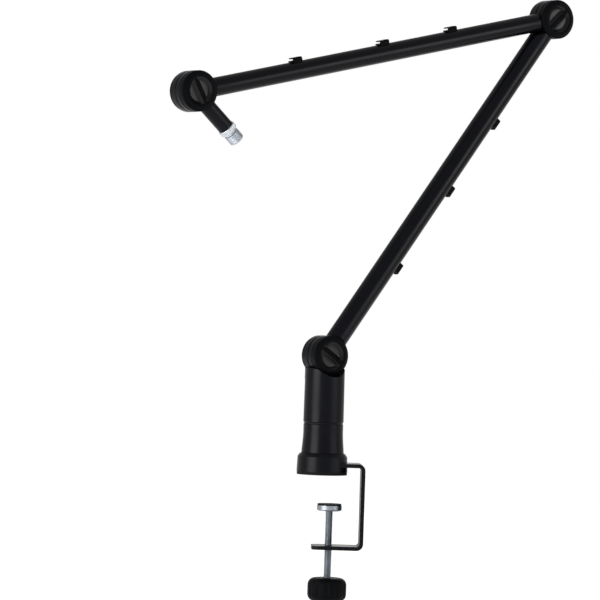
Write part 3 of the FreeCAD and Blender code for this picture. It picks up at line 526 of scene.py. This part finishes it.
# %% Sleeve and washer
SLEEVE_COLUMNS = 192
SLEEVE_ROWS = 40
SLEEVE_FLARE = 1.5
FLARE_START, FLARE_END = -0.3, 0.75
SLEEVE_EDGE = 0.5
SLEEVE_BORE = 11.06
SLEEVE_CAVITY = 10.6
CAVITY_TOP = 28.2
WASHER_INSET = 0.45
sleeve_low, sleeve_high = reach("socket_sleeve", UPRIGHT)
washer_low, washer_high = reach("swivel_thrust_washer", UPRIGHT)
sleeve_angles = around(SLEEVE_COLUMNS)
sleeve_rise = np.linspace(0, 1, SLEEVE_ROWS)
neck = sleeve_high[0] - SLEEVE_FLARE
flare = 1 - eased(sleeve_rise, FLARE_START, FLARE_END)
sleeve_steps = sleeve_low[2] + (sleeve_high[2] - SLEEVE_EDGE - sleeve_low[2]) * sleeve_rise
sleeve_radius = np.concatenate([
    [SLEEVE_CAVITY], neck + SLEEVE_FLARE * flare / flare[0],
    [neck - SLEEVE_EDGE, SLEEVE_BORE, SLEEVE_BORE, SLEEVE_CAVITY]])
sleeve_height = np.concatenate([
    sleeve_low[2:], sleeve_steps, [sleeve_high[2], sleeve_high[2], CAVITY_TOP, CAVITY_TOP]])
turned_piece(
    "flared_sleeve", UPRIGHT, "z", sleeve_radius[:, None] + 0 * sleeve_angles, sleeve_height,
    "clamp", "cast_body", ["socket_sleeve"], bored=True)
washer_radius = np.array([SLEEVE_BORE, neck - WASHER_INSET, neck - WASHER_INSET, SLEEVE_BORE])
washer_height = np.repeat([washer_low[2], washer_high[2]], 2)
turned_piece(
    "slip_washer", UPRIGHT, "z", washer_radius[:, None] + 0 * sleeve_angles, washer_height,
    "clamp", "bush_plastic", ["swivel_thrust_washer"], bored=True)

# %% [markdown]
# Colours are written as the hex values that a picture editor shows, and Blender's shaders want amounts of
# light, so one function turns the one into the other. Nodes could be wired by hand in the editor, but
# written down they can be read and repeated, so one more function adds any node with its settings and
# links.

# %% Colour and node helpers


def linear(hex_colour):
    """sRGB hex to linear RGBA: a channel up to 0.04045 is divided by 12.92, others follow the 2.4 power."""
    channels = np.array([int(hex_colour[place:place + 2], 16) for place in (1, 3, 5)]) / 255
    light = np.where(channels <= 0.04045, channels / 12.92, ((channels + 0.055) / 1.055) ** 2.4)
    return (*light.tolist(), 1.0)


def add_node(tree, kind, inputs=None, **settings):
    """Add one node: settings are its own properties, and inputs are numbers, colours or nodes' sockets."""
    node = tree.nodes.new(kind)
    for name, value in settings.items():
        setattr(node, name, value)
    for name, value in (inputs or {}).items():
        socket = node.inputs[name]
        if isinstance(value, bpy.types.NodeSocket):
            tree.links.new(value, socket)
        else:
            socket.default_value = value
    return node


def per_mm(millimetres):
    """A texture's scale for a pattern of that size on a model in metres."""
    return 1 / (millimetres * MM)


def empty_tree(owner):
    """The node tree of a new material or world, with nothing in it."""
    owner.use_nodes = True
    owner.node_tree.nodes.clear()
    return owner.node_tree


print("light in a middle grey of #808080:", round(linear("#808080")[0], 3))

# %% [markdown]
# Every finish here is two close tones that drift over the piece, with a gloss that drifts along and a
# fine grain on top, so one function makes them all. Image textures would need a seam on every piece, and
# noise in the space of the piece has none. The real grains are a few tenths of a millimetre wide. They
# would vanish in the picture, so they are drawn up to about 2 mm wide.

# %% A finish from two tones and a grain
GRAIN_DETAIL = 2.0
EDGE_SAMPLES = 8


def grained_finish(
        name, dark, light, roughness, gloss_change, patch_mm, patch_detail, patch_span,
        grain_mm, grain_depth_mm, shader, edge_mm=0.0):
    """Two tones mixed by a slow noise, a roughness that follows its span, and a fine noise as bump.

    Values in shader are the same all over and are set on the shader itself. With edge_mm, edges are shaded
    as if they were rounded by that radius.
    """
    finish = bpy.data.materials.new(name)
    tree = empty_tree(finish)
    place = add_node(tree, "ShaderNodeTexCoord").outputs["Object"]
    patches = add_node(tree, "ShaderNodeTexNoise", {
        "Vector": place, "Scale": per_mm(patch_mm), "Detail": patch_detail})
    colour = add_node(tree, "ShaderNodeMix", {
        "Factor": patches.outputs["Fac"], "A": linear(dark), "B": linear(light)}, data_type="RGBA")
    gloss = add_node(tree, "ShaderNodeMapRange", {
        "Value": patches.outputs["Fac"], "From Min": patch_span[0], "From Max": patch_span[1],
        "To Min": roughness - gloss_change, "To Max": roughness + gloss_change})
    grain = add_node(tree, "ShaderNodeTexNoise", {
        "Vector": place, "Scale": per_mm(grain_mm), "Detail": GRAIN_DETAIL})
    bump = add_node(tree, "ShaderNodeBump", {
        "Height": grain.outputs["Fac"], "Distance": grain_depth_mm * MM, "Strength": 1.0})
    if edge_mm:
        rounded = add_node(tree, "ShaderNodeBevel", {"Radius": edge_mm * MM}, samples=EDGE_SAMPLES)
        tree.links.new(rounded.outputs["Normal"], bump.inputs["Normal"])
    surface = add_node(tree, "ShaderNodeBsdfPrincipled", {
        **shader, "Base Color": colour.outputs["Result"], "Roughness": gloss.outputs["Result"],
        "Normal": bump.outputs["Normal"]})
    add_node(tree, "ShaderNodeOutputMaterial", {"Surface": surface.outputs["BSDF"]})
    print("finish:", name)
    return finish


# %% [markdown]
# Black coats look alike until light rakes across them. What tells them apart is how finely the surface
# rolls and how sharply it mirrors. A black coat shows little but what it mirrors, and this studio is
# pale, so its specular level is lowered until the coat is as deep as in the picture. Darker walls would
# do that too, but they would show from the other sides.

# %% Painted metal
COAT_IOR = 1.5
COAT_SPECULAR = 0.13
HANDLING_MM = 38
HANDLING_DETAIL = 4.0
HANDLING_SPAN = (0.3, 0.7)


def coat(
        name, dark, light, roughness, gloss_change, grain_mm, grain_depth_mm,
        specular=COAT_SPECULAR, edge_mm=0.0):
    """Paint or moulded plastic: patches from handling, with a clear mirror of one strength all over."""
    return grained_finish(
        name, dark, light, roughness, gloss_change, HANDLING_MM, HANDLING_DETAIL, HANDLING_SPAN,
        grain_mm, grain_depth_mm, {"IOR": COAT_IOR, "Specular IOR Level": specular}, edge_mm)


# Powder is sprayed dry and baked on the strip: its fine orange peel blurs every highlight.
powder_coat = coat(
    "black_powder_coat", "#0a0b11", "#101117", roughness=0.42, gloss_change=0.05,
    grain_mm=0.9, grain_depth_mm=0.008, edge_mm=0.4)

# Satin paint levels out over the castings: it shows soft upright bands of light.
casting_paint = coat(
    "satin_paint_on_castings", "#090a11", "#0d0e16", roughness=0.32, gloss_change=0.04,
    grain_mm=1.4, grain_depth_mm=0.004, edge_mm=0.2)

# Semi-gloss paint on drawn tube is the smoothest paint: it draws one thin bright line along each arm.
tube_paint = coat(
    "semi_gloss_tube_paint", "#08090f", "#0c0d14", roughness=0.26, gloss_change=0.03,
    grain_mm=1.8, grain_depth_mm=0.003)

# %% [markdown]
# Moulded plastic takes its skin from the mould. Where the mould is polished the plastic mirrors the
# lamps, and where it is etched the plastic looks dry and darker. Rubber is duller still. They are made as
# the coats are, because to the eye they differ from them only in grain and gloss.

# %% Moulded plastic and rubber
# Nylon from the polished part of the mould: the dishes of the knobs light up as grey half moons.
dish_nylon = coat(
    "polished_black_nylon", "#050609", "#08090c", roughness=0.25, gloss_change=0.03,
    grain_mm=0.6, grain_depth_mm=0.004, specular=0.24)

# Acetal, moulded thin so that the cable clips can spring: nearly without a highlight, the darkest pieces.
clip_acetal = coat(
    "sprung_black_acetal", "#040507", "#07080a", roughness=0.46, gloss_change=0.05,
    grain_mm=0.7, grain_depth_mm=0.004, specular=0.04)

# Nylon from the etched part of the mould: a dry black on the ridges and sides of the knobs.
grip_nylon = coat(
    "textured_black_nylon", "#050609", "#090a0d", roughness=0.58, gloss_change=0.05,
    grain_mm=0.8, grain_depth_mm=0.010, specular=0.07)

# Pressed rubber: a dull black, slightly grey, that shows no mirror image at all.
black_rubber = coat(
    "black_rubber", "#0e0e0e", "#161616", roughness=0.78, gloss_change=0.06,
    grain_mm=0.5, grain_depth_mm=0.03, specular=0.2)

# Grey acetal in the bushes and the friction discs: a paler line where two castings meet.
bush_acetal = coat(
    "moulded_grey_acetal", "#1c1c1e", "#262628", roughness=0.45, gloss_change=0.05,
    grain_mm=0.8, grain_depth_mm=0.008, specular=0.3)

# %% [markdown]
# Bare metals get their look from what plated or cut them: clouds from the bath, or marks from the tool. A
# brushed pattern would suit flat sheet, but these pieces are round and threaded, so clouds and fine marks
# are enough.

# %% Bare metals
CLOUD_DETAIL = 5.0
CLOUD_SPAN = (0.0, 1.0)
MARK_MM = 0.5


def bare_metal(name, dark, light, roughness, gloss_change, cloud_mm, mark_depth_mm):
    """A metal with clouds of two tones, a gloss that follows them, and fine marks."""
    return grained_finish(
        name, dark, light, roughness, gloss_change, cloud_mm, CLOUD_DETAIL, CLOUD_SPAN,
        MARK_MM, mark_depth_mm, {"Metallic": 1.0})


# Zinc from a bath on steel: a soft grey, faintly blue and cloudy.
zinc_plate = bare_metal(
    "zinc_plated_steel", "#8a9097", "#a8aeb5", roughness=0.38, gloss_change=0.06,
    cloud_mm=6, mark_depth_mm=0.004)

# Nickel on turned brass: brighter, with a soft even sheen, so the stud and its ring are the palest pieces.
nickel_plate = bare_metal(
    "nickel_plated_brass", "#c3c8cf", "#d9dde3", roughness=0.44, gloss_change=0.05,
    cloud_mm=9, mark_depth_mm=0.001)

# Brass straight from the lathe: a warm yellow with the tool's marks.
turned_brass = bare_metal(
    "turned_brass", "#a8873f", "#c9a85c", roughness=0.30, gloss_change=0.06,
    cloud_mm=3, mark_depth_mm=0.006)

# %% [markdown]
# The record gives every piece a slot that says what it is made of, so a table from slot to finish dresses
# the whole arm. Picking each piece by name would work too, but then a new piece could be forgotten. The
# hinge knobs get a second finish for the faces of their dishes.

# %% Finishes onto the pieces
FINISHES = {
    "steel_strip": powder_coat,
    "cast_body": casting_paint,
    "link_casting": casting_paint,
    "tube": tube_paint,
    "knob_plastic": grip_nylon,
    "clip_plastic": clip_acetal,
    "rubber": black_rubber,
    "steel": zinc_plate,
    "plated_thread": nickel_plate,
    "nut_brass": turned_brass,
    "bush_plastic": bush_acetal,
}


def dress(piece, finish):
    """Give a piece one finish all over."""
    piece.data.materials.clear()
    piece.data.materials.append(finish)


for subpart in record["subparts"]:
    dress(frame["nodes"][subpart["node"]], FINISHES[subpart["material_slot"]])
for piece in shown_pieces():
    if "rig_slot" in piece:
        dress(piece, FINISHES[piece["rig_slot"]])
for knob, is_polished in polished_faces.items():
    mesh = bpy.data.objects[knob].data
    mesh.materials.append(dish_nylon)
    mesh.polygons.foreach_set("material_index", is_polished.astype(np.int32))
    mesh.update()

# %% [markdown]
# The studio is a pale grey room whose floor and wall turn white behind the arm. More light on a grey wall
# would whiten it too, but it would also wash out the arm. So rays that see the studio, from the camera or
# in a mirror, get its brightness, and rays that only carry light get a plain level, at which a colour
# renders about as it is written. The floor lies as far below the arm as the clamp's knob can travel down.

# %% Floor
FLOOR_HALF = 14.0
FLOOR_DROP = 0.0004
SWEEP_STARTS, SWEEP_FULL = -2.6, -0.1
SWEEP_WIDENING = 0.30
SWEEP_HALF, SWEEP_GONE = 0.50, 2.4
GLOW_LEAST, GLOW_MOST = 0.50, 0.80
floor_height = cad_low.z + joints["pad_slide"]["range_m"][0] - FLOOR_DROP
corners = np.array([[-1, -1], [1, -1], [1, 1], [-1, 1]]) * FLOOR_HALF
floor_points = np.column_stack([corners, np.full(4, floor_height)])
floor_mesh = bpy.data.meshes.new("floor")
floor_mesh.from_pydata(floor_points.tolist(), [], [[0, 1, 2, 3]])
floor = put_in_scene("floor", floor_mesh)


def seen_share(tree):
    """1 for rays that see a surface from the camera, in a mirror or through glass, and 0 for other rays."""
    path = add_node(tree, "ShaderNodeLightPath")
    sharp = add_node(tree, "ShaderNodeMath", {
        0: path.outputs["Is Glossy Ray"], 1: path.outputs["Is Transmission Ray"]}, operation="MAXIMUM")
    return add_node(tree, "ShaderNodeMath", {
        0: path.outputs["Is Camera Ray"], 1: sharp.outputs["Value"]}, operation="MAXIMUM").outputs["Value"]


# Matt pale paper: it keeps the arm's soft shadow, and glows most in a sweep that widens behind the arm.
pale_floor = bpy.data.materials.new("pale_floor")
tree = empty_tree(pale_floor)
matt = add_node(tree, "ShaderNodeBsdfDiffuse", {"Color": linear("#e6e6e4")})
floor_place = add_node(tree, "ShaderNodeSeparateXYZ", {
    "Vector": add_node(tree, "ShaderNodeTexCoord").outputs["Object"]})
behind = add_node(tree, "ShaderNodeMapRange", {
    "Value": floor_place.outputs["Y"], "From Min": SWEEP_STARTS, "From Max": SWEEP_FULL,
    "To Min": 0.0, "To Max": 1.0}, interpolation_type="SMOOTHSTEP")
sideways = add_node(tree, "ShaderNodeMath", {0: floor_place.outputs["X"]}, operation="ABSOLUTE")
widening = add_node(tree, "ShaderNodeMath", {
    0: floor_place.outputs["Y"], 1: -SWEEP_WIDENING, 2: sideways.outputs["Value"]}, operation="MULTIPLY_ADD")
within = add_node(tree, "ShaderNodeMapRange", {
    "Value": widening.outputs["Value"], "From Min": SWEEP_HALF, "From Max": SWEEP_GONE,
    "To Min": 1.0, "To Max": 0.0}, interpolation_type="SMOOTHSTEP")
swept = add_node(tree, "ShaderNodeMath", {
    0: behind.outputs["Result"], 1: within.outputs["Result"]}, operation="MULTIPLY")
sweep = add_node(tree, "ShaderNodeMapRange", {
    "Value": swept.outputs["Value"], "To Min": GLOW_LEAST, "To Max": GLOW_MOST})
glow_amount = add_node(tree, "ShaderNodeMath", {
    0: seen_share(tree), 1: sweep.outputs["Result"]}, operation="MULTIPLY")
glow = add_node(tree, "ShaderNodeEmission", {
    "Color": linear("#ffffff"), "Strength": glow_amount.outputs["Value"]})
floor_light = add_node(tree, "ShaderNodeAddShader", {0: matt.outputs["BSDF"], 1: glow.outputs["Emission"]})
add_node(tree, "ShaderNodeOutputMaterial", {"Surface": floor_light.outputs["Shader"]})
dress(floor, pale_floor)
print("floor at", round(floor_height, 4), "metres")

# %% [markdown]
# The wall is the world itself. A plane could stand behind the arm instead, but its edges would show from
# the other sides. The world is white where the camera looks, in a wide round patch, and grey elsewhere,
# so the sides of the arm have something to mirror.

# %% Wall
WALL_GREY = "#c0c0bf"
WALL_WHITE = "#ffffff"
ROOM_LIGHT = "#8c8c8c"
PATCH_EDGE, PATCH_FULL = 0.82, 0.95
world = bpy.data.worlds.new("studio")
scene.world = world
tree = empty_tree(world)
direction = add_node(tree, "ShaderNodeSeparateXYZ", {
    "Vector": add_node(tree, "ShaderNodeTexCoord").outputs["Generated"]})
wall = add_node(tree, "ShaderNodeMapRange", {
    "Value": direction.outputs["Y"], "From Min": PATCH_EDGE, "From Max": PATCH_FULL},
    interpolation_type="SMOOTHSTEP")
shown = add_node(tree, "ShaderNodeMix", {
    "Factor": wall.outputs["Result"], "A": linear(WALL_GREY), "B": linear(WALL_WHITE)}, data_type="RGBA")
ambient = add_node(tree, "ShaderNodeMix", {
    "Factor": seen_share(tree), "A": linear(ROOM_LIGHT), "B": shown.outputs["Result"]}, data_type="RGBA")
backdrop = add_node(tree, "ShaderNodeBackground", {"Color": ambient.outputs["Result"], "Strength": 1.0})
add_node(tree, "ShaderNodeOutputWorld", {"Surface": backdrop.outputs["Background"]})
print("light of the room:", round(linear(ROOM_LIGHT)[0], 3))

# %% [markdown]
# A round black tube mirrors a lamp as one bright line, so each line in the picture says where a lamp
# stands. The two upright bands on the column ask for a wide box on each side. The right one also draws
# the line along each arm, and the knobs mirror it in the flat floors of their dishes. A smaller box with
# a grid adds to it near the elbow, where both lines are brightest. A weak box behind the arm gives its
# back some shape, and doesn't show from the front. Point lamps would be simpler, but on gloss they show
# as dots.

# %% Soft boxes
COLUMN_FRONT = Vector((0.03, 0.0, 0.22))
ELBOW_PLACE = Vector(HINGES["elbow"])
NO_GRID = 180


def soft_box(name, aim, azimuth, elevation, distance, width, height, radiance, spread=NO_GRID):
    """An area lamp that looks at a place from an azimuth right of the camera.

    Its power is radiance x pi x area. A spread below 180 degrees is a honeycomb grid on the box, which keeps
    its light near the place.
    """
    turn, rise = math.radians(azimuth), math.radians(elevation)
    toward = Vector((math.sin(turn) * math.cos(rise), -math.cos(turn) * math.cos(rise), math.sin(rise)))
    lamp = bpy.data.lights.new(name, "AREA")
    lamp.shape = "RECTANGLE"
    lamp.size, lamp.size_y = width, height
    lamp.energy = radiance * math.pi * width * height
    lamp.spread = math.radians(spread)
    holder = put_in_scene(name, lamp)
    holder.location = aim + toward * distance
    holder.rotation_euler = (-toward).to_track_quat("-Z", "Y").to_euler()
    holder.visible_camera = False
    print(name, "has", round(lamp.energy, 2), "watts")


soft_box(
    "left_box", COLUMN_FRONT, azimuth=-51, elevation=0, distance=1.8, width=1.2, height=1.0, radiance=5.2)
soft_box(
    "right_box", COLUMN_FRONT, azimuth=60, elevation=4, distance=1.9, width=1.3, height=0.9, radiance=1.4)
soft_box(
    "elbow_box", ELBOW_PLACE, azimuth=65, elevation=8, distance=1.3, width=0.70, height=0.70, radiance=0.115,
    spread=32)
soft_box(
    "back_box", COLUMN_FRONT, azimuth=172, elevation=14, distance=2.4, width=0.9, height=0.8, radiance=1.8)

# %% [markdown]
# The Standard view shows colours as they are written, where a film look would bend them.

# %% View
scene.view_settings.view_transform = "Standard"
